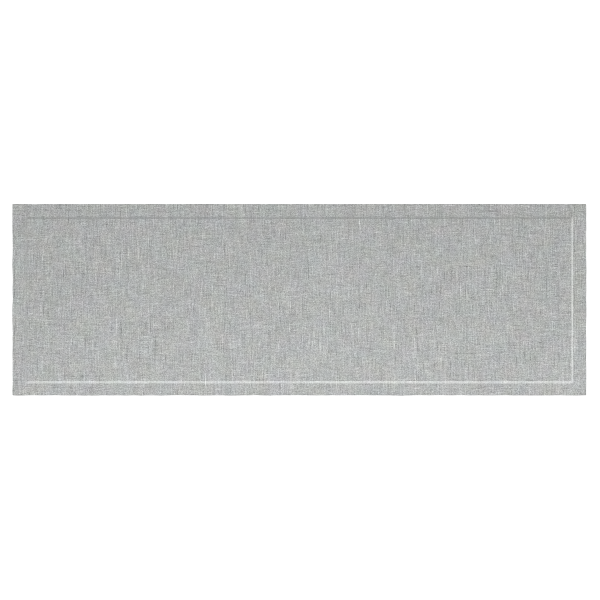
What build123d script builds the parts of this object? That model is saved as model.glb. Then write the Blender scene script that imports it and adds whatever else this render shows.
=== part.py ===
"""Table runner: one length of heavy linen-look cloth with a mitred hem, lying flat.

The cloth is cut in one piece. On all four sides its edge is folded under twice, so that the raw edge
lies inside close to the outer fold, and one row of lockstitch holds the hem down. The corners are
mitred and closed by a hidden seam. A blank care label is caught in the back hem.

X runs along the runner, Y across it and Z up, in millimetres. The origin is the middle of the
underside. The cloth is divided at the foot of each hem and at the mitres into five nodes, which meet
face to face. Each row of stitches is a plain bar that lies in a groove of the cloth.
"""

from build123d import *

import os
from dataclasses import dataclass

# Finished size
LENGTH = 1500.0
WIDTH = 500.0

# Cloth
CLOTH = 0.55  # one layer
FOLD_GAP = 0.06  # air between two pressed layers

# Hem
HEM_DEPTH = 34.0  # outer edge to inner fold
RAW_EDGE_INSET = 1.5  # outer edge to the raw edge inside the hem
RAMP = 5.0  # plan length of the face's slope from the hem down to the panel

# Sewing thread, as it lies in the cloth
THREAD_WIDTH = 0.35
THREAD_HEIGHT = 0.30
NEEDLE_SINK = 0.15  # how deep the needle thread is drawn into the face
BOBBIN_LIFT = 0.03  # how far the bobbin thread is drawn up from the table
STITCH_INSET = 2.0  # inner fold to the row of stitches
MITRE_START = 4.0  # outer edges to the first stitch of a corner seam
MITRE_END = 2.0  # its last stitch to the rows of hem stitches

# Care label, a folded loop of satin tape pressed into the back of the cloth
LABEL_WIDTH = 30.0
LABEL_DROP = 38.0  # inner fold to the loop's folded end
LABEL_THICKNESS = 0.24  # both layers of the loop
LABEL_GRIP = 3.0  # how far it runs past the row of stitches into the hem
LABEL_FROM_END = 160.0  # runner's left edge to the middle of the label

# Levels that the layers of the hem reach, and the radii that its folds show outside
TURNING_TOP = CLOTH
TUCK_BASE = TURNING_TOP + FOLD_GAP
TUCK_TOP = TUCK_BASE + CLOTH
FACE_BASE = TUCK_TOP + FOLD_GAP
HEM_TOP = FACE_BASE + CLOTH
OUTER_RADIUS = HEM_TOP / 2
INNER_RADIUS = TUCK_TOP / 2
STITCH_LINE = HEM_DEPTH - STITCH_INSET


@dataclass(frozen=True)
class HemSide:
    """One side of the runner: which way it faces, how far out its edge lies and how long it is."""

    outward: Vector
    reach: float
    span: float

    @property
    def along(self):
        return self.outward.cross(Vector(0, 0, 1))

    @property
    def inner_fold(self):
        return self.reach - HEM_DEPTH

    @property
    def foot(self):
        return self.inner_fold - RAMP

    @property
    def section(self):
        """The plane of a cut across this side, with its own X pointing outwards and its own Y up."""
        return Plane(origin=(0, 0, 0), x_dir=self.outward, z_dir=self.along)

    def inset_point(self, other, inset):
        """The point of the mitre between two sides that lies this far in from both edges."""
        return self.outward * (self.reach - inset) + other.outward * (other.reach - inset)


FRONT = HemSide(Vector(0, -1, 0), WIDTH / 2, LENGTH)
BACK = HemSide(Vector(0, 1, 0), WIDTH / 2, LENGTH)
LEFT = HemSide(Vector(-1, 0, 0), LENGTH / 2, WIDTH)
RIGHT = HemSide(Vector(1, 0, 0), LENGTH / 2, WIDTH)
SIDES = {"front": FRONT, "back": BACK, "left": LEFT, "right": RIGHT}
CORNERS = {
    "front_left": (FRONT, LEFT),
    "front_right": (FRONT, RIGHT),
    "back_left": (BACK, LEFT),
    "back_right": (BACK, RIGHT),
}


def draw_slope(start, end):
    """Two equal arcs from one level to another, flat at both ends."""
    middle = ((start[0] + end[0]) / 2, (start[1] + end[1]) / 2)
    first = TangentArc(start, middle, tangent=(1, 0))
    TangentArc(middle, end, tangent=first % 1)


def extrude_mitred(side):
    """Extrudes the pending section along a side and cuts both ends at 45 degrees through the corners."""
    extrude(amount=side.span / 2, both=True)
    for end in (-1, 1):
        corner = side.outward * side.reach + side.along * (end * side.span / 2)
        beyond_mitre = side.along * end - side.outward
        split(bisect_by=Plane(origin=corner, z_dir=beyond_mitre), keep=Keep.BOTTOM)


def make_hem_thread(side, bottom):
    """One row of hem stitches, which meets the rows of the next sides at the corners."""
    with BuildPart() as thread:
        with BuildSketch(side.section):
            with Locations((side.reach - STITCH_LINE, bottom)):
                Rectangle(THREAD_WIDTH, THREAD_HEIGHT, align=(Align.CENTER, Align.MIN))
        extrude_mitred(side)
    return thread.part


def make_mitre_thread(first, second):
    """The seam that closes one mitred corner, sunk into the top of the turning."""
    start = first.inset_point(second, MITRE_START)
    end = first.inset_point(second, STITCH_LINE - MITRE_END)
    middle = (start + end) * 0.5 + Vector(0, 0, TURNING_TOP)
    with BuildPart() as thread:
        with BuildSketch(Plane(origin=middle, x_dir=end - start, z_dir=(0, 0, 1))):
            Rectangle((end - start).length, THREAD_WIDTH)
        extrude(amount=-THREAD_HEIGHT)
    return thread.part


def make_label(side):
    """The care label, from its folded end under the panel up into the hem, on top of the tuck."""
    to_middle = LENGTH / 2 - LABEL_FROM_END
    grip_end = side.inner_fold + STITCH_INSET + LABEL_GRIP
    with BuildPart() as label:
        with BuildSketch(side.section.offset(-to_middle)):
            with BuildLine():
                Line((side.inner_fold - LABEL_DROP, 0), (side.foot, 0))
                draw_slope((side.foot, 0), (side.inner_fold, TUCK_TOP))
                Line((side.inner_fold, TUCK_TOP), (grip_end, TUCK_TOP))
                offset(amount=LABEL_THICKNESS, side=Side.LEFT)
            make_face()
        extrude(amount=LABEL_WIDTH / 2, both=True)
    return label.part


def make_hem(side, sewn_in):
    """One hem: the face, round the outer fold to the turning, and round the inner fold to the tuck."""
    outer_bend = side.reach - OUTER_RADIUS
    outer_fold = (side.reach - CLOTH, OUTER_RADIUS)
    inner_bend = side.inner_fold + INNER_RADIUS
    inner_fold = (side.inner_fold + CLOTH, INNER_RADIUS)
    with BuildPart() as hem:
        with BuildSketch(side.section):
            with BuildLine():
                draw_slope((side.foot, 0), (side.inner_fold, FACE_BASE))
                Line((side.inner_fold, FACE_BASE), (outer_bend, FACE_BASE))
                TangentArc((outer_bend, FACE_BASE), outer_fold, tangent=(1, 0))
                offset(amount=CLOTH, side=Side.LEFT)
            make_face()
            with BuildLine():
                TangentArc(outer_fold, (outer_bend, TURNING_TOP), tangent=(0, -1))
                Line((outer_bend, TURNING_TOP), (inner_bend, TURNING_TOP))
                TangentArc((inner_bend, TURNING_TOP), inner_fold, tangent=(-1, 0))
                offset(amount=CLOTH, side=Side.LEFT)
            make_face()
            with BuildLine():
                TangentArc(inner_fold, (inner_bend, TUCK_BASE), tangent=(0, 1))
                Line((inner_bend, TUCK_BASE), (side.reach - RAW_EDGE_INSET, TUCK_BASE))
                offset(amount=CLOTH, side=Side.LEFT)
            make_face()
        extrude_mitred(side)
        add(sewn_in, mode=Mode.SUBTRACT)
    return hem.part


def make_panel(label):
    """The cloth inside the hems, hollowed underneath where the label lies."""
    with BuildPart() as panel:
        with BuildSketch():
            Rectangle(2 * RIGHT.foot, 2 * BACK.foot)
        extrude(amount=CLOTH)
        add(label, mode=Mode.SUBTRACT)
    return panel.part


nodes = {"care_label": make_label(BACK)}
for name, (first, second) in CORNERS.items():
    nodes[f"{name}_mitre_thread"] = make_mitre_thread(first, second)
for name, side in SIDES.items():
    nodes[f"{name}_needle_thread"] = make_hem_thread(side, HEM_TOP - NEEDLE_SINK)
    nodes[f"{name}_bobbin_thread"] = make_hem_thread(side, BOBBIN_LIFT)
    sewn_in = [nodes[f"{name}_needle_thread"], nodes[f"{name}_bobbin_thread"]]
    sewn_in += [nodes[f"{corner}_mitre_thread"] for corner in CORNERS if name in corner.split("_")]
    if side is BACK:
        sewn_in.append(nodes["care_label"])
    nodes[f"{name}_hem"] = make_hem(side, sewn_in)
nodes["centre_panel"] = make_panel(nodes["care_label"])

os.makedirs("parts", exist_ok=True)
for name, part in nodes.items():
    part.label = name
    export_step(part, f"parts/{name}.step")
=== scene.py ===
import math
import random

import bpy
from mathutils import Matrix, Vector, noise


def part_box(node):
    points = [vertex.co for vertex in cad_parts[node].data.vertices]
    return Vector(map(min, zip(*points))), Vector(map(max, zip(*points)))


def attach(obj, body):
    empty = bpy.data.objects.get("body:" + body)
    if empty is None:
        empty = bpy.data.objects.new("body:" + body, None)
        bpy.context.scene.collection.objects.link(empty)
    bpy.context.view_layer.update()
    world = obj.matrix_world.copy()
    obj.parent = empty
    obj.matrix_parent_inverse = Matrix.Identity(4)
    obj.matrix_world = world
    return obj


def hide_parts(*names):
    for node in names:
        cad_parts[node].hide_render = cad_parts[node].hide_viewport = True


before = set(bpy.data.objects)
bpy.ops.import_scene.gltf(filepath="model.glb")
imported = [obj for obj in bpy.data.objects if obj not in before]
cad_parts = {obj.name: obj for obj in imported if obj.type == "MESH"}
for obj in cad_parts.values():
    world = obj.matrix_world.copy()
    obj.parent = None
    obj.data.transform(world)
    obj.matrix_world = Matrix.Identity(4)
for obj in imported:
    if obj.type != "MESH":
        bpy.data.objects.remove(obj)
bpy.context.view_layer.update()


# ---------------------------------------------------------------------------------------------
# Cloth
# One length of heavy linen-look cloth, cut in one piece and pressed flat. Each edge is folded
# under twice into a hem of three layers, and the corners are folded to a mitre.

HEM_DEPTH = 0.034
RAW_EDGE_INSET = 0.0015
panel_low, panel_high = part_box("centre_panel")
hem_low, hem_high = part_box("front_hem")
half_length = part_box("right_hem")[1].x
half_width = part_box("back_hem")[1].y
layer = panel_high.z - panel_low.z
fold_gap = (hem_high.z - hem_low.z - 3 * layer) / 2
foot_inset = half_width - panel_high.y
tuck_top = 2 * layer + fold_gap

SLOPE_STEPS = 9
SLOPE_ROUNDING = 0.14


def slope(start, end):
    """A straight slope with rounded ends between two (inset, level) points, without the first."""
    points = []
    for step in range(1, SLOPE_STEPS + 1):
        part = step / SLOPE_STEPS
        from_end = min(part, 1 - part)
        risen = from_end - SLOPE_ROUNDING / 2
        if from_end < SLOPE_ROUNDING:
            risen = from_end**2 / (2 * SLOPE_ROUNDING)
        risen /= 1 - SLOPE_ROUNDING
        if part > 0.5:
            risen = 1 - risen
        points.append((start[0] + (end[0] - start[0]) * part, start[1] + (end[1] - start[1]) * risen))
    return points


FOLD_STEPS = 8


def bend(inset, level, radius, start_angle, end_angle):
    """An arc about (inset, level), without its first point; angles run from straight up, outwards."""
    points = []
    for step in range(1, FOLD_STEPS + 1):
        angle = start_angle + (end_angle - start_angle) * step / FOLD_STEPS
        points.append((inset - radius * math.sin(angle), level + radius * math.cos(angle)))
    return points


GRID_STEP = 0.008
END_SUPPORT = 0.0003


def flat_run(start, inset):
    """Points at one level from a point to an inset, without the first, and with one close to each end."""
    heading = math.copysign(1, inset - start[0])
    first, last = start[0] + heading * END_SUPPORT, inset - heading * END_SUPPORT
    steps = math.ceil(abs(last - first) / GRID_STEP)
    insets = [first + (last - first) * step / steps for step in range(steps + 1)] + [inset]
    return [(place, start[1]) for place in insets]


SEAM_SPREAD = 0.0006
thread_low, thread_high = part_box("front_needle_thread")
stitch_inset = half_width + (thread_low.y + thread_high.y) / 2


def pulled_in(points, seam_level):
    """The points with the row of stitches worked in, where the thread draws the layer to its own level."""
    heading = math.copysign(1, points[-1][0] - points[0][0])
    level = points[0][1]
    kept_before = [point for point in points if (point[0] - stitch_inset) * heading < -2 * SEAM_SPREAD]
    kept_after = [point for point in points if (point[0] - stitch_inset) * heading > 2 * SEAM_SPREAD]
    seam = [(stitch_inset + heading * step * SEAM_SPREAD, level) for step in (-2, -1, 0, 1, 2)]
    seam[2] = (stitch_inset, seam_level)
    return kept_before + seam + kept_after


# The middle of the cloth in a cut across a hem, from the panel to the hidden raw edge, as
# (inset from the outer edge, level). The thread squeezes all three layers in the seam.
SEAM_SQUEEZE = 0.9
middle = layer / 2
on_turning = layer + fold_gap + middle
on_tuck = 2 * (layer + fold_gap) + middle
outer_radius = on_tuck / 2 + middle / 2
inner_radius = on_turning / 2 + middle / 2
inner_bend = HEM_DEPTH - inner_radius
squeezed = SEAM_SQUEEZE * layer
turning_seam = 1.5 * (layer - squeezed) + squeezed / 2
tuck_seam = turning_seam + squeezed + fold_gap
face_seam = tuck_seam + squeezed + fold_gap
section = [(foot_inset + END_SUPPORT, middle), (foot_inset, middle)]
section += slope(section[-1], (HEM_DEPTH, on_tuck))
section += pulled_in(flat_run(section[-1], outer_radius), face_seam)
section += bend(outer_radius, outer_radius, outer_radius - middle, 0, math.pi)
section += pulled_in(flat_run(section[-1], inner_bend), turning_seam)
section += bend(inner_bend, inner_radius, inner_radius - middle, math.pi, 2 * math.pi)
section += pulled_in(flat_run(section[-1], RAW_EDGE_INSET), tuck_seam)


BROAD_RISE = 0.0002
SHORT_RISE = 0.00007
MEAN_RISE = 0.7


def stand_off(x, y):
    """How far the relaxed cloth stands off the table at a place, alike in all its layers."""
    broad = noise.noise(Vector((x * 6.0, y * 8.0, 4.7)))
    short = noise.noise(Vector((x * 17.0, y * 21.0, 9.2)))
    return BROAD_RISE * (MEAN_RISE + broad) + SHORT_RISE * (MEAN_RISE + short)


SWELL_HEIGHT = 1.2
SWELL_REACH = 0.07
label_low, label_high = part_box("care_label")
label_place = (label_low + label_high) / 2
label_thickness = label_high.z - tuck_top


def label_swell(x, y):
    """How far the label lifts what lies on it."""
    from_label = math.hypot(x - label_place.x, y - label_place.y)
    return SWELL_HEIGHT * label_thickness * math.exp(-((from_label / SWELL_REACH) ** 2))


LONG_STRAY = 0.0004
SHORT_STRAY = 0.00025


def wander(place, row):
    """How far a pressed edge strays from a straight line at a place along it."""
    long_wave = noise.noise(Vector((place * 26.0, row, 0.5)))
    short_wave = noise.noise(Vector((place * 70.0, row, 7.5)))
    return LONG_STRAY * long_wave + SHORT_STRAY * short_wave


def eased(part):
    """Rises smoothly from 0 to 1 as part does."""
    part = min(1.0, max(0.0, part))
    return part * part * (3 - 2 * part)


# How far inwards the iron moved the inner fold and the foot of the slope on each side.
FRONT_PRESSING = (-0.0028, -0.0010)
BACK_PRESSING = (-0.0003, 0.0)
LEFT_PRESSING = (-0.0008, 0.0006)
RIGHT_PRESSING = (0.0007, 0.0)
PRESS_REACH = 0.06


def pressed_inwards(inset, fold_shift, foot_shift):
    """How far inwards the iron moved a point of a hem, whose inner fold and slope it moved this far."""
    if inset < HEM_DEPTH:
        return fold_shift * eased(inset / HEM_DEPTH)
    if inset < foot_inset:
        return fold_shift + (foot_shift - fold_shift) * (inset - HEM_DEPTH) / (foot_inset - HEM_DEPTH)
    return foot_shift * (1 - eased((inset - foot_inset) / PRESS_REACH))


def settle(x, y, z, under_cloth=False):
    """Moves a point of the flat, straight runner to where it lies on the real one."""
    side_x, side_y = math.copysign(1, x), math.copysign(1, y)
    inset_x, inset_y = half_length - abs(x), half_width - abs(y)
    pressing_x = LEFT_PRESSING if x < 0 else RIGHT_PRESSING
    pressing_y = FRONT_PRESSING if y < 0 else BACK_PRESSING
    near_edge_x, near_edge_y = (max(0.0, 1 - inset / HEM_DEPTH) ** 2 for inset in (inset_x, inset_y))
    stray_x = near_edge_x * wander(y, side_x) - pressed_inwards(inset_x, *pressing_x)
    stray_y = near_edge_y * wander(x, side_y + 5) - pressed_inwards(inset_y, *pressing_y)
    lift = stand_off(x, y)
    if not under_cloth and (inset_y > HEM_DEPTH or z > tuck_top):
        lift += label_swell(x, y)
    return x + side_x * stray_x, y + side_y * stray_y, z + lift


bpy.ops.object.select_all(action="DESELECT")
panel_x, panel_y = half_length - section[0][0], half_width - section[0][0]
panel_cells_x, panel_cells_y = round(2 * panel_x / GRID_STEP), round(2 * panel_y / GRID_STEP)
bpy.ops.mesh.primitive_grid_add(x_subdivisions=panel_cells_x, y_subdivisions=panel_cells_y, size=2)
runner = bpy.context.object
runner.name = "cloth"
runner.scale = (panel_x, panel_y, 1)
runner.location.z = middle
bpy.ops.object.transform_apply(location=True, rotation=True, scale=True)
panel_points = len(runner.data.vertices)

bpy.ops.object.mode_set(mode="EDIT")
bpy.ops.mesh.select_mode(type="EDGE")
bpy.ops.mesh.select_all(action="SELECT")
bpy.ops.mesh.region_to_loop()
for (last_inset, last_level), (inset, level) in zip(section, section[1:]):
    bpy.ops.mesh.extrude_region_move(TRANSFORM_OT_translate={"value": (0, 0, level - last_level)})
    widen_x = (half_length - inset) / (half_length - last_inset)
    widen_y = (half_width - inset) / (half_width - last_inset)
    bpy.ops.transform.resize(value=(widen_x, widen_y, 1), center_override=(0, 0, 0))
bpy.ops.object.mode_set(mode="OBJECT")

# The flat cut is the cloth's own map, in metres, so that the weave follows it round every fold.
mesh = runner.data
ring_points = 2 * (panel_cells_x + panel_cells_y)
run = [0.0]
for last, point in zip(section, section[1:]):
    run.append(run[-1] + math.dist(last, point))
cut = mesh.uv_layers.new(name="cut")
for face in mesh.polygons:
    rings = [max(0, (point - panel_points) // ring_points + 1) for point in face.vertices]
    on_hem = max(rings) > 0
    on_short_side = half_length - abs(face.center.x) < half_width - abs(face.center.y)
    for corner, ring in zip(face.loop_indices, rings):
        u, v, _ = mesh.vertices[mesh.loops[corner].vertex_index].co
        if on_hem and on_short_side:
            u = math.copysign(panel_x + run[ring], u)
        elif on_hem:
            v = math.copysign(panel_y + run[ring], v)
        cut.data[corner].uv = (u, v)

thickness = runner.vertex_groups.new(name="thickness")
thickness.add(range(len(mesh.vertices)), 1.0, "REPLACE")
for ring, (inset, level) in enumerate(section):
    if abs(inset - stitch_inset) < 1e-6:
        first = panel_points + (ring - 1) * ring_points
        thickness.add(range(first, first + ring_points), SEAM_SQUEEZE, "REPLACE")
for point in mesh.vertices:
    point.co = settle(*point.co)

thicken = runner.modifiers.new("thickness", "SOLIDIFY")
thicken.thickness = layer
thicken.offset = 0
thicken.vertex_group = thickness.name
bpy.ops.object.modifier_apply(modifier=thicken.name)
bpy.ops.object.mode_set(mode="EDIT")
bpy.ops.mesh.select_all(action="SELECT")
bpy.ops.mesh.normals_make_consistent(inside=False)
bpy.ops.object.mode_set(mode="OBJECT")
bpy.ops.object.shade_smooth()


class Wire:
    """One socket of a shader, which arithmetic extends by Math nodes."""

    def __init__(self, socket):
        self.socket = socket

    def node(self, kind, settings, inputs, output=0):
        """Adds a node beside this wire, sets it up, fills its sockets and gives one of its outputs."""
        tree = self.socket.id_data
        added = tree.nodes.new(kind)
        for name, value in settings.items():
            setattr(added, name, value)
        for key, value in inputs.items():
            if isinstance(value, Wire):
                tree.links.new(value.socket, added.inputs[key])
            else:
                added.inputs[key].default_value = value
        return Wire(added.outputs[output])

    def math(self, operation, *values):
        return self.node("ShaderNodeMath", {"operation": operation}, dict(enumerate(values)))

    def __add__(self, other):
        return self.math("ADD", self, other)

    def __sub__(self, other):
        return self.math("SUBTRACT", self, other)

    def __rsub__(self, other):
        return self.math("SUBTRACT", other, self)

    def __mul__(self, other):
        return self.math("MULTIPLY", self, other)

    def __truediv__(self, other):
        return self.math("DIVIDE", self, other)

    def __abs__(self):
        return self.math("ABSOLUTE", self)

    def __mod__(self, other):
        return self.math("FLOORED_MODULO", self, other)

    def floor(self):
        return self.math("FLOOR", self)

    def between(self, start, end):
        """Rises smoothly from 0 at start to 1 at end."""
        return self.node("ShaderNodeMapRange", {"interpolation_type": "SMOOTHSTEP"},
                         {"Value": self, "From Min": start, "From Max": end})

    def feeds(self, shader, socket):
        self.socket.id_data.links.new(self.socket, shader.inputs[socket])

    __radd__ = __add__
    __rmul__ = __mul__


def new_finish(name, **values):
    """A new material whose shader's own sockets hold the values; gives both."""
    material = bpy.data.materials.new(name)
    material.use_nodes = True
    shader = material.node_tree.nodes["Principled BSDF"]
    for socket, value in values.items():
        shader.inputs[socket.replace("_", " ")].default_value = value
    return material, shader


def own_map(material, name):
    """The two wires of a piece's own map, and the map itself."""
    uv_map = material.node_tree.nodes.new("ShaderNodeUVMap")
    uv_map.uv_map = name
    whole = Wire(uv_map.outputs["UV"])
    split = whole.node("ShaderNodeSeparateXYZ", {}, {"Vector": whole})
    return split, Wire(split.socket.node.outputs["Y"]), whole


def flat_noise(x, y, detail=1.0):
    """Smooth noise over two wires, about zero, with features about one unit across."""
    place = x.node("ShaderNodeCombineXYZ", {}, {"X": x, "Y": y})
    pattern = {"Vector": place, "Scale": 1.0, "Detail": detail}
    return x.node("ShaderNodeTexNoise", {"noise_dimensions": "2D"}, pattern) - 0.5


def dice(x, y):
    """A number for each pair of values, unrelated to its neighbours, about zero."""
    place = x.node("ShaderNodeCombineXYZ", {}, {"X": x, "Y": y})
    return x.node("ShaderNodeTexWhiteNoise", {"noise_dimensions": "2D"}, {"Vector": place}) - 0.5


# The finish is a plain weave of melange yarn. Yarns stray a little from their places, and each is
# spun from light and dark fibre in streaks and flecks that run along it. Slubs are a few yarns
# wide. Lengths count the yarns that are crossed, and a number that is only added to a place keeps
# one pattern unlike the others.
YARN_PITCH = 0.00105
YARN_STRAY = 0.9
STRAY_PITCH = 0.011
WEFT_STREAK_LENGTH = 50.0
WARP_STREAK_LENGTH = 38.0
WEFT_FLECK_LENGTH = 2.7
WARP_FLECK_LENGTH = 4.3
FLECK_STAGGER = 0.37
SLUB_WIDTH = 2.4
WEFT_SLUB_LENGTH = 44.0
WARP_SLUB_LENGTH = 31.0
YARN_APART = 7.31
SLUB_APART = 5.17
melange, melange_shader = new_finish("melange_weave", Roughness=0.9, Specular_IOR_Level=0.2)
cut_x, cut_y, cut_map = own_map(melange, "cut")
stray_across = flat_noise(cut_x / STRAY_PITCH, cut_y / STRAY_PITCH)
stray_along = flat_noise(cut_y / STRAY_PITCH + 3.0, cut_x / STRAY_PITCH + 5.0)
across = cut_x / YARN_PITCH + stray_across * YARN_STRAY
along = cut_y / YARN_PITCH + stray_along * YARN_STRAY
weft, warp = across.floor(), along.floor()
in_weft, in_warp = across - weft - 0.5, along - warp - 0.5
weft_over = (weft + warp) % 2.0
warp_over = 1 - weft_over

weft_streak = flat_noise(weft * YARN_APART, along / WEFT_STREAK_LENGTH, detail=1.5)
warp_streak = flat_noise(across / WARP_STREAK_LENGTH, warp * YARN_APART + 50.0, detail=1.5)
weft_fleck = dice(weft, (along / WEFT_FLECK_LENGTH + weft * FLECK_STAGGER).floor())
warp_fleck = dice((across / WARP_FLECK_LENGTH + warp * FLECK_STAGGER).floor(), warp + 900.0)
speck = dice(weft, warp)
weft_slub = flat_noise((across / SLUB_WIDTH).floor() * SLUB_APART + 200.0, along / WEFT_SLUB_LENGTH)
warp_slub = flat_noise(across / WARP_SLUB_LENGTH, (along / SLUB_WIDTH).floor() * SLUB_APART + 300.0)
tone = speck * 0.4 + weft_slub * abs(weft_slub) * 2.4 + warp_slub * abs(warp_slub) * 1.9
weft_tone = weft_streak * 0.85 + weft_fleck * 0.4
warp_tone = warp_streak * 0.65 + warp_fleck * 0.45
tone += weft_over * weft_tone + warp_over * warp_tone

# Past the panel the map runs on over the slope, which the iron has flattened and which is painted
# paler and more even as a painted highlight, and round the outer fold, where the crease gets painted
# shade.
# Painted highlight: the slope's colour is made paler, and its tone more even, as under a highlight.
SLOPE_PAINTED_HIGHLIGHT = 0.195
PAINTED_HIGHLIGHT_EVENER = 0.45
CREASE_PAINTED_SHADE = 0.3
CREASE_SHADE_REACH = 0.0025
beyond = cut_x.math("MAXIMUM", abs(cut_x) - panel_x, abs(cut_y) - panel_y)
slope_end = run[1 + SLOPE_STEPS]
pressed_and_painted_highlight = beyond.between(0.0004, 0.0014) * (1 - beyond.between(slope_end - 0.0001, slope_end + 0.0005))
outermost = min(range(len(section)), key=lambda ring: section[ring][0])
fold_run = run[outermost]
# Painted shade along the crease of the outer fold.
painted_crease_shade = beyond.between(fold_run - CREASE_SHADE_REACH, fold_run)
painted_crease_shade *= 1 - beyond.between(fold_run, fold_run + CREASE_SHADE_REACH)

# Each crossing is a small cushion, round across the yarn on top and bowed a little along it.
ROUND_ACROSS = 3.6
ROUND_ALONG = 1.5
crown_along = in_warp * weft_over + in_weft * warp_over
crown_across = in_weft * weft_over + in_warp * warp_over
crown = (1 - crown_across * crown_across * ROUND_ACROSS) * (1 - crown_along * crown_along * ROUND_ALONG)
# Painted shade: each crown is painted lighter and the yarn darker where it dips at a crossing; the slope's
# painted highlight and the crease's painted shade multiply in too.
painted_shade_and_highlight = (0.85 + crown * 0.22) * (1 + pressed_and_painted_highlight * SLOPE_PAINTED_HIGHLIGHT) * (1 - painted_crease_shade * CREASE_PAINTED_SHADE)
light = (1 + tone * (1 + tone * 0.28) * (1 - pressed_and_painted_highlight * PAINTED_HIGHLIGHT_EVENER)) * painted_shade_and_highlight

CLOTH_COLOUR = (0.4385, 0.4543, 0.4372)
TINT_RANGE = (0.039, 0.032, 0.051)
TINTS_PER_METRE = 18.0
tint_place = cut_map.node("ShaderNodeVectorMath", {"operation": "SCALE"},
                          {0: cut_map, "Scale": TINTS_PER_METRE})
tint = cut_map.node("ShaderNodeTexNoise", {"noise_dimensions": "2D"},
                    {"Vector": tint_place, "Scale": 1.0, "Detail": 2.0}, output="Color")
tint = cut_map.node("ShaderNodeVectorMath", {"operation": "MULTIPLY_ADD"},
                    {0: tint, 1: TINT_RANGE, 2: CLOTH_COLOUR})
colour = cut_map.node("ShaderNodeVectorMath", {"operation": "SCALE"}, {0: tint, "Scale": light})
colour.feeds(melange_shader, "Base Color")
bump = cut_map.node("ShaderNodeBump", {}, {"Height": crown * (1.3 + tone * 0.3), "Strength": 0.45,
                                            "Distance": 0.0002})
bump.feeds(melange_shader, "Normal")
(0.86 + speck * 0.1 - pressed_and_painted_highlight * 0.06).feeds(melange_shader, "Roughness")
runner.data.materials.append(melange)

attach(runner, "root")
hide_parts("centre_panel", "front_hem", "back_hem", "left_hem", "right_hem")

# The mitres take a corner off the cut, so each strip of a hem is as long as the ring that it makes.
cut_length, cut_width = 2 * (panel_x + run[-1]), 2 * (panel_y + run[-1])
cut_area = 4 * panel_x * panel_y
for last, point in zip(section, section[1:]):
    ring_length = 4 * (half_length + half_width - last[0] - point[0])
    cut_area += ring_length * math.dist(last, point)


# ---------------------------------------------------------------------------------------------
# Hem stitches
# One row of lockstitch on each side, in spun polyester thread dyed close to the cloth's grey and
# painted lighter, as painted light that offsets the stitches' own shade and lightens the seam. The
# needle thread shows on the face and the bobbin thread on the underside.

STITCH_PITCH = 0.0032
STITCH_LENGTH = 0.0029
STITCH_LEAN = 0.06
END_DIP = 0.00012
bpy.ops.object.select_all(action="DESELECT")
bpy.ops.mesh.primitive_uv_sphere_add(segments=6, ring_count=6, radius=1, rotation=(0, math.pi / 2, 0))
stitch = bpy.context.object
bpy.ops.object.transform_apply(location=True, rotation=True, scale=True)
bpy.ops.object.mode_set(mode="EDIT")
bpy.ops.mesh.select_all(action="SELECT")
thread_size = thread_high - thread_low
stitch_size = Vector((STITCH_LENGTH, thread_size.y, thread_size.z))
bpy.ops.transform.resize(value=stitch_size / 2, center_override=(0, 0, 0))
bpy.ops.object.mode_set(mode="OBJECT")
# The sphere's rings move outwards, so that the stitch stays plump until its ends dip to the cloth.
for point in stitch.data.vertices:
    end = abs(point.co.x) / (STITCH_LENGTH / 2)
    if 0.4 < end < 0.9:
        point.co.x *= 1.25 if end < 0.6 else 1.06
        point.co.yz *= 1.1 if end < 0.6 else 1.35
    point.co.z -= END_DIP * end**4
    point.co.y += STITCH_LEAN * point.co.x
bpy.ops.object.shade_smooth()

THREAD_COLOUR_WITH_PAINTED_LIGHT = (0.59, 0.606, 0.596)
PLY_TURNS = 3.0
thread, thread_shader = new_finish("sewing_thread", Roughness=0.6, Specular_IOR_Level=0.35)
around, length, thread_map = own_map(thread, "UVMap")
# The plies are painted darker in the grooves between them, as painted shade.
ply = abs((around + length * PLY_TURNS) % 0.5 - 0.25) * 4.0
thread_colour = thread_map.node("ShaderNodeVectorMath", {"operation": "SCALE"},
                                {0: THREAD_COLOUR_WITH_PAINTED_LIGHT, "Scale": 0.85 + ply * 0.25})
thread_colour.feeds(thread_shader, "Base Color")
thread_bump = thread_map.node("ShaderNodeBump", {}, {"Height": ply, "Strength": 0.5, "Distance": 0.00006})
thread_bump.feeds(thread_shader, "Normal")
stitch.data.materials.append(thread)


STITCH_SLIP = 0.00008
STITCH_TURN = 0.05


def sew(node, name, heading, seed):
    """Sews a row of stitches along a CAD thread that lies at an angle to X, on the settled cloth."""
    low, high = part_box(node)
    centre, size = (low + high) / 2, high - low
    along = Vector((math.cos(heading), math.sin(heading), 0))
    aside = Vector((-along.y, along.x, 0))
    span = size.x * abs(along.x) + size.y * abs(along.y)
    count = round(span / STITCH_PITCH)
    pitch = span / count
    row = stitch.copy()
    row.data = stitch.data.copy()
    row.name = name
    bpy.context.collection.objects.link(row)
    bpy.ops.object.select_all(action="DESELECT")
    bpy.context.view_layer.objects.active = row
    row.select_set(True)
    points_each = len(row.data.vertices)
    repeat = row.modifiers.new("row", "ARRAY")
    repeat.count = count
    repeat.use_relative_offset = False
    repeat.use_constant_offset = True
    repeat.constant_offset_displace = (pitch, 0, 0)
    bpy.ops.object.modifier_apply(modifier=repeat.name)
    rng = random.Random(seed)
    slips = []
    for _ in range(count):
        slips.append((rng.uniform(-STITCH_SLIP, STITCH_SLIP), rng.uniform(-STITCH_TURN, STITCH_TURN)))
    for index, point in enumerate(row.data.vertices):
        slip, turn = slips[index // points_each]
        from_own_middle = point.co.x - (index // points_each) * pitch
        place = centre + along * (point.co.x - (span - pitch) / 2)
        place += aside * (point.co.y + slip + turn * from_own_middle)
        point.co = settle(place.x, place.y, place.z + point.co.z)
    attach(row, "root")
    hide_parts(node)


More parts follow.
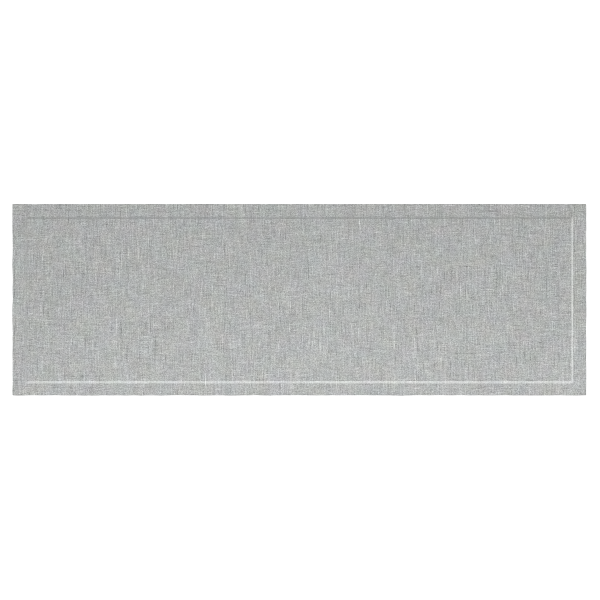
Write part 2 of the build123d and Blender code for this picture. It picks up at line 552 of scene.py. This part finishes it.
for seed, side in enumerate(("front", "back", "left", "right")):
    heading = 0 if side in ("front", "back") else math.pi / 2
    sew(f"{side}_needle_thread", f"{side}_needle_stitches", heading, seed)
    sew(f"{side}_bobbin_thread", f"{side}_bobbin_stitches", heading, seed + 10)


# ---------------------------------------------------------------------------------------------
# Mitre stitches
# Each mitred corner is closed by hand, in the same thread, before the hem is sewn down. These
# stitches lie between the turning and the tuck, so the face and the underside hide them.

for seed, corner in enumerate(("front_left", "front_right", "back_left", "back_right")):
    heading = math.pi / 4 if corner in ("front_left", "back_right") else -math.pi / 4
    sew(f"{corner}_mitre_thread", f"{corner}_mitre_stitches", heading, seed + 20)
bpy.data.objects.remove(stitch)


# ---------------------------------------------------------------------------------------------
# Care label
# A blank loop of woven satin tape, folded double. Its two cut ends are caught in the seam of the
# back hem, and the rest lies between the runner and the table.

TAPE = 0.0001
LABEL_COLUMNS = 16
fold_radius = (label_thickness - TAPE) / 2
grip_inset, fold_inset = half_width - label_high.y, half_width - label_low.y - label_thickness / 2
path = [(grip_inset, tuck_top + TAPE / 2)]
path += flat_run(path[-1], HEM_DEPTH)
path += slope(path[-1], (foot_inset, TAPE / 2))
path += flat_run(path[-1], fold_inset)
path += bend(fold_inset, label_thickness / 2, fold_radius, math.pi, 2 * math.pi)
path += flat_run(path[-1], foot_inset)
path += slope(path[-1], (HEM_DEPTH, tuck_top + label_thickness - TAPE / 2))
path += flat_run(path[-1], grip_inset)
tape_length = sum(math.dist(last, point) for last, point in zip(path, path[1:]))
tape_width = label_high.x - label_low.x

bpy.ops.object.select_all(action="DESELECT")
bpy.ops.mesh.primitive_grid_add(x_subdivisions=LABEL_COLUMNS, y_subdivisions=len(path) - 1, size=1)
label = bpy.context.object
label.name = "care_label_tape"
for point in label.data.vertices:
    inset, level = path[round((point.co.y + 0.5) * (len(path) - 1))]
    point.co = settle(label_place.x + tape_width * point.co.x, half_width - inset, level, under_cloth=True)
thicken = label.modifiers.new("thickness", "SOLIDIFY")
thicken.thickness = TAPE
thicken.offset = 0
bpy.ops.object.modifier_apply(modifier=thicken.name)
bpy.ops.object.mode_set(mode="EDIT")
bpy.ops.mesh.select_all(action="SELECT")
bpy.ops.mesh.normals_make_consistent(inside=False)
bpy.ops.object.mode_set(mode="OBJECT")
bpy.ops.object.shade_smooth()

TAPE_COLOUR = (0.74, 0.73, 0.69)
RIB_PITCH = 0.00022
FLOAT_LENGTH = 0.0011
SHEEN_LENGTH = 0.006
satin, satin_shader = new_finish("satin_tape", Roughness=0.36, Specular_IOR_Level=0.5)
over_tape, down_tape, tape_map = own_map(satin, "UVMap")
rib = over_tape * tape_width / RIB_PITCH
rib_shape = abs(rib % 1.0 - 0.5) * 2.0
float_ends = dice(rib.floor(), (down_tape * tape_length / FLOAT_LENGTH).floor())
sheen = flat_noise(rib * 0.7, down_tape * tape_length / SHEEN_LENGTH, detail=2.0)
woven_edge = abs(over_tape - 0.5).between(0.455, 0.47)
# The tape's colour holds painted sheen, and painted shade in the grooves between the ribs.
tape_light = 1 + sheen * 0.22 + float_ends * 0.07 - rib_shape * 0.08 - woven_edge * 0.12
tape_colour = tape_map.node("ShaderNodeVectorMath", {"operation": "SCALE"},
                            {0: TAPE_COLOUR, "Scale": tape_light})
tape_colour.feeds(satin_shader, "Base Color")
(0.36 + sheen * 0.2 + woven_edge * 0.25).feeds(satin_shader, "Roughness")
tape_bump = tape_map.node("ShaderNodeBump", {}, {"Height": float_ends * 0.3 - rib_shape, "Strength": 0.35,
                                                 "Distance": 0.00005})
tape_bump.feeds(satin_shader, "Normal")
label.data.materials.append(satin)
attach(label, "root")
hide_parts("care_label")


# ---------------------------------------------------------------------------------------------
# Studio
# The runner lies on a bright white table. Low, soft daylight comes from the back left and rakes
# the slopes of the hems, a long fill lamp stands off the front edge, and the camera looks down.

bpy.ops.object.select_all(action="DESELECT")
bpy.ops.mesh.primitive_plane_add(size=40, location=(0, 0, -0.0002))
floor = bpy.context.object
floor.name = "floor"
white, _ = new_finish("white_table", Base_Color=(0.3, 0.3, 0.3, 1), Roughness=0.8,
                      Emission_Color=(1, 1, 1, 1), Emission_Strength=0.92)
white.cycles.emission_sampling = "NONE"
floor.data.materials.append(white)

SKY_STRENGTH = 0.08
world = bpy.data.worlds.new("studio")
bpy.context.scene.world = world
world.use_nodes = True
sky = world.node_tree.nodes["Background"]
sky.inputs["Color"].default_value = (1, 1, 1, 1)
sky.inputs["Strength"].default_value = SKY_STRENGTH

KEY_HEIGHT = math.radians(20.5)
KEY_TURN = math.radians(33)
KEY_ON_FLAT = 0.578 * math.pi
level_reach = math.cos(KEY_HEIGHT)
towards_key = Vector((-math.sin(KEY_TURN) * level_reach, math.cos(KEY_TURN) * level_reach,
                      math.sin(KEY_HEIGHT)))
bpy.ops.object.light_add(type="SUN", rotation=towards_key.to_track_quat("Z", "Y").to_euler())
key = bpy.context.object
key.data.energy = KEY_ON_FLAT / math.sin(KEY_HEIGHT)
key.data.angle = math.radians(8)

FILL_PLACE = (0.05, -0.95, 1.25)
FILL_SIZE = (3.2, 0.5)
FILL_POWER = 16.3
bpy.ops.object.light_add(type="AREA", location=FILL_PLACE)
fill = bpy.context.object
fill.rotation_euler = Vector(fill.location).to_track_quat("Z", "Y").to_euler()
fill.data.shape = "RECTANGLE"
fill.data.size, fill.data.size_y = FILL_SIZE
fill.data.energy = FILL_POWER

LENS = 150
SENSOR = 36
FRAME_WIDTH = 1.56854
FRAME_CENTRE = (0.0017, -0.0006)
camera_place = (*FRAME_CENTRE, FRAME_WIDTH * LENS / SENSOR)
bpy.ops.object.camera_add(location=camera_place, rotation=(0, 0, 0))
camera = bpy.context.object
camera.data.lens = LENS
camera.data.sensor_width = SENSOR
camera.data.clip_end = 100
bpy.context.scene.camera = camera
bpy.context.scene.view_settings.view_transform = "Standard"
bpy.context.scene.cycles.filter_width = 0.7
bpy.context.scene.cycles.use_denoising = False
